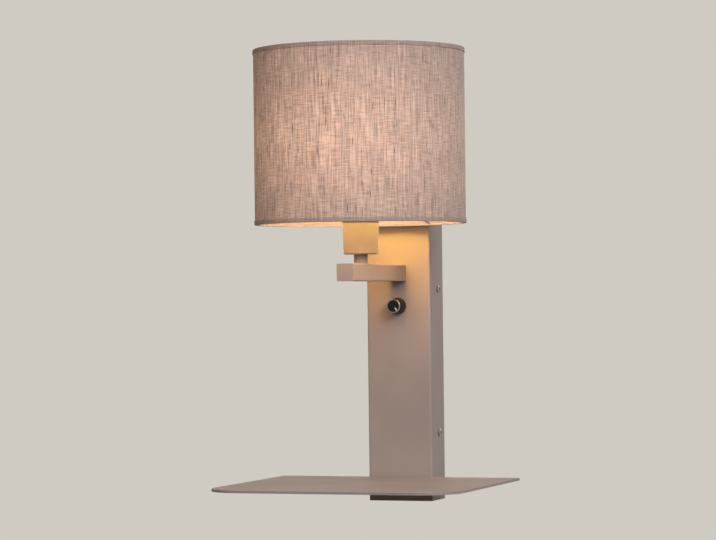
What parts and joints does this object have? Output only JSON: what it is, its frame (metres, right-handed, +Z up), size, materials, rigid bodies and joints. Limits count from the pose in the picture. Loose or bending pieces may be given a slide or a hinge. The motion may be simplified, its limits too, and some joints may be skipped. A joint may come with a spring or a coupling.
{
  "type": "wall lamp with shelf",
  "caption": "Wall lamp with a drum shade on a square arm, a slim box column with a rotary dimmer, and a flat shelf with rounded front corners at its foot.",
  "frame": {"origin": "centre of the wall bracket's two slots, on the bracket's back face, which lies in the wall plane", "axes": "+X along the wall to the viewer's right, +Y into the wall, +Z up; the shade and shelf stand out towards -Y"},
  "size_m": [0.27, 0.287, 0.479],
  "materials": {
    "paint": "fine satin powder coat, warm grey",
    "zinc_steel": "bright zinc-plated steel",
    "brass": "plain stamped brass",
    "black_plastic": "matt moulded casing",
    "white_plastic": "matt moulded insulator",
    "grommet_rubber": "matt",
    "frame_wire": "white coated wire",
    "shade_liner": "matt translucent film",
    "linen": "plain-woven linen with slubs, dusty pink-beige",
    "bulb_metal": "nickel-plated cap",
    "bulb_diffuser": "opal",
    "led_board": "white board",
    "knob_black": "gloss, fine turned face",
    "bright_ring": "polished",
    "pointer_white": "gloss",
    "wire_brown": "extruded insulation",
    "wire_black": "extruded insulation",
    "wire_blue": "extruded insulation",
    "wire_green_yellow": "extruded insulation"
  },
  "bodies": {
    "lamp": {"wall_bracket": "zinc_steel", "clinch_nuts": "zinc_steel", "cable_grommet": "grommet_rubber", "terminal_block": "white_plastic", "terminal_inserts": "brass", "clamp_screws": "zinc_steel", "block_screws": "zinc_steel", "earth_stud": "zinc_steel", "earth_tag": "brass", "earth_nut": "zinc_steel", "column_cover": "paint", "cover_screws": "paint", "shelf": "paint", "shelf_screws": "zinc_steel", "shelf_backing_plate": "zinc_steel", "arm_tube": "paint", "arm_end_cap": "paint", "arm_plug": "zinc_steel", "arm_pin": "zinc_steel", "arm_nipple": "zinc_steel", "arm_backing_plate": "zinc_steel", "arm_washer": "zinc_steel", "arm_nut": "zinc_steel", "neck_nut": "zinc_steel", "neck_nipple": "zinc_steel", "neck_spacer": "paint", "holder_cup": "paint", "lampholder_base": "white_plastic", "lampholder_shell": "brass", "lampholder_contact": "brass", "lampholder_skirt": "white_plastic", "shade_ring_nuts": "white_plastic", "shade_lower_frame": "frame_wire", "shade_upper_ring": "frame_wire", "shade_liner": "shade_liner", "shade_fabric": "linen", "shade_top_band": "linen", "shade_bottom_band": "linen", "bulb_cap": "bulb_metal", "bulb_tip": "bulb_metal", "bulb_housing": "white_plastic", "bulb_globe": "bulb_diffuser", "led_board": "led_board", "dimmer_module": "black_plastic", "dimmer_bushing": "zinc_steel", "dimmer_washer": "zinc_steel", "dimmer_nut": "zinc_steel", "live_wire": "wire_brown", "lamp_wire": "wire_black", "neutral_wire": "wire_blue", "earth_wire": "wire_green_yellow"},
    "dimmer_knob": {"dimmer_shaft": "zinc_steel", "knob_body": "knob_black", "knob_ring": "bright_ring", "knob_pointer": "pointer_white"}
  },
  "joints": [
    {"name": "dimmer_turn", "type": "hinge", "parent": "lamp", "child": "dimmer_knob", "pos_m": [0, -0.045, 0.06], "axis": [0, 1, 0], "range_deg": [-290, 10]}
  ]
}
